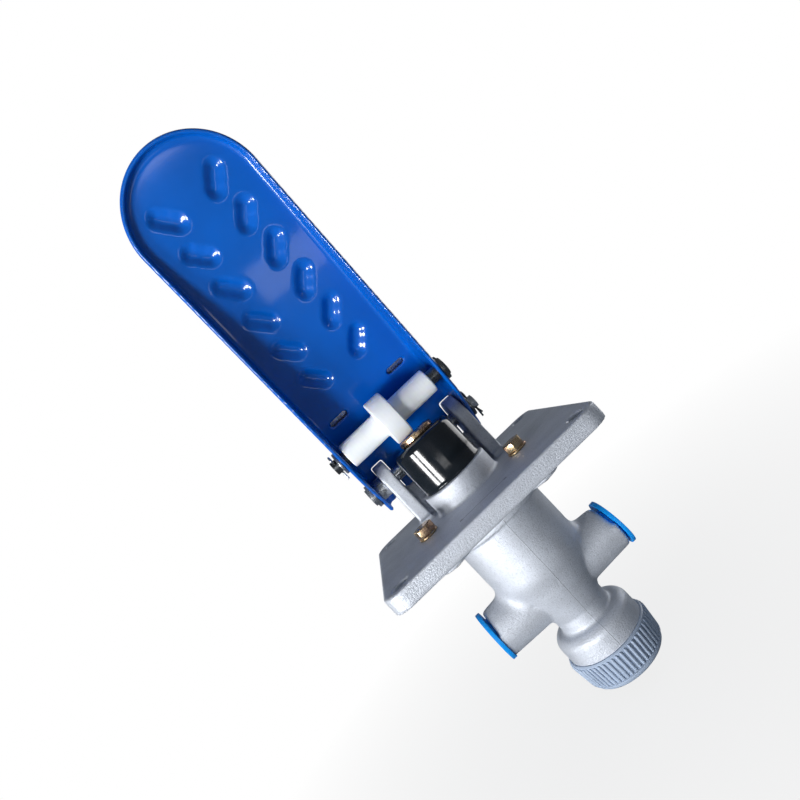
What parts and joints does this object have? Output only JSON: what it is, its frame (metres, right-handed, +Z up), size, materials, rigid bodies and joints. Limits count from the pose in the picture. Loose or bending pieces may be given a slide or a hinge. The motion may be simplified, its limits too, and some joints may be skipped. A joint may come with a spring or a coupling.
{
  "type": "truck foot brake valve",
  "caption": "Truck foot brake valve: cast air valve with a floor plate, a blue pressed-steel pedal, a nylon roller and a booted plunger.",
  "frame": {"origin": "centre of the floor bolt pattern on the underside of the plate, on the valve axis", "axes": "+Z up the valve axis towards the pedal, X along the pedal hinge, -Y towards the driver's side that the pedal leans to"},
  "size_m": [0.13, 0.13, 0.3553],
  "materials": {
    "cast_aluminium": "rough",
    "blue_enamel": "gloss",
    "yellow_zinc": "satin",
    "bright_zinc": "satin",
    "dark_steel": "satin",
    "spring_steel": "satin",
    "machined_aluminium": "satin",
    "brass": "satin",
    "black_rubber": "gloss",
    "gasket_paper": "matte",
    "white_nylon": "satin",
    "azure_plastic": "gloss",
    "grey_plastic": "satin",
    "felt": "matte"
  },
  "bodies": {
    "valve": {"mounting_plate": "cast_aluminium", "body_gasket": "gasket_paper", "valve_body": "cast_aluminium", "flange_bolts": "yellow_zinc", "flange_washers": "yellow_zinc", "rubber_boot": "black_rubber", "graduating_spring": "spring_steel", "return_spring": "spring_steel", "valve_spring": "spring_steel", "valve_guide": "brass", "guide_ring": "black_rubber", "stem_ring": "black_rubber", "retaining_clip": "dark_steel", "exhaust_flap": "black_rubber", "silencer_pad": "felt", "silencer_cap": "grey_plastic", "left_plug": "azure_plastic", "right_plug": "azure_plastic", "hinge_pin": "bright_zinc", "hinge_spacer": "bright_zinc", "hinge_washer": "dark_steel", "hinge_split_pin": "dark_steel"},
    "pedal_arm": {"pedal": "blue_enamel", "roller_pin": "dark_steel", "roller_pin_washer": "bright_zinc", "roller_split_pin": "bright_zinc"},
    "pedal_roller": {"roller": "white_nylon"},
    "push_plunger": {"plunger": "yellow_zinc"},
    "control_piston": {"piston": "machined_aluminium", "piston_ring": "black_rubber"},
    "air_valve": {"inlet_valve": "brass", "valve_seal": "black_rubber"}
  },
  "joints": [
    {"name": "pedal_hinge", "type": "hinge", "parent": "valve", "child": "pedal_arm", "pos_m": [0, 0.024, 0.0395], "axis": [1, 0, 0], "range_deg": [0, 14], "stiffness_Nm_per_rad": 6, "springref_deg": -11.46},
    {"name": "roller_spin", "type": "hinge", "parent": "pedal_arm", "child": "pedal_roller", "pos_m": [0, 0.00251, 0.06601], "axis": [1, 0, 0], "continuous": true},
    {"name": "plunger_slide", "type": "slide", "parent": "valve", "child": "push_plunger", "axis": [0, 0, 1], "range_m": [-0.0061, 0], "deforming": ["rubber_boot", "graduating_spring"]},
    {"name": "piston_slide", "type": "slide", "parent": "valve", "child": "control_piston", "axis": [0, 0, 1], "range_m": [-0.0041, 0], "deforming": ["return_spring"]},
    {"name": "air_valve_slide", "type": "slide", "parent": "valve", "child": "air_valve", "axis": [0, 0, 1], "range_m": [-0.0026, 0], "deforming": ["valve_spring"]}
  ],
  "couplings": [
    {"joint": "plunger_slide", "follows": "pedal_hinge", "m_per_rad": -0.0245},
    {"joint": "piston_slide", "follows": "pedal_hinge", "m_per_rad": -0.0163},
    {"joint": "air_valve_slide", "follows": "pedal_hinge", "m_per_rad": -0.01023}
  ]
}
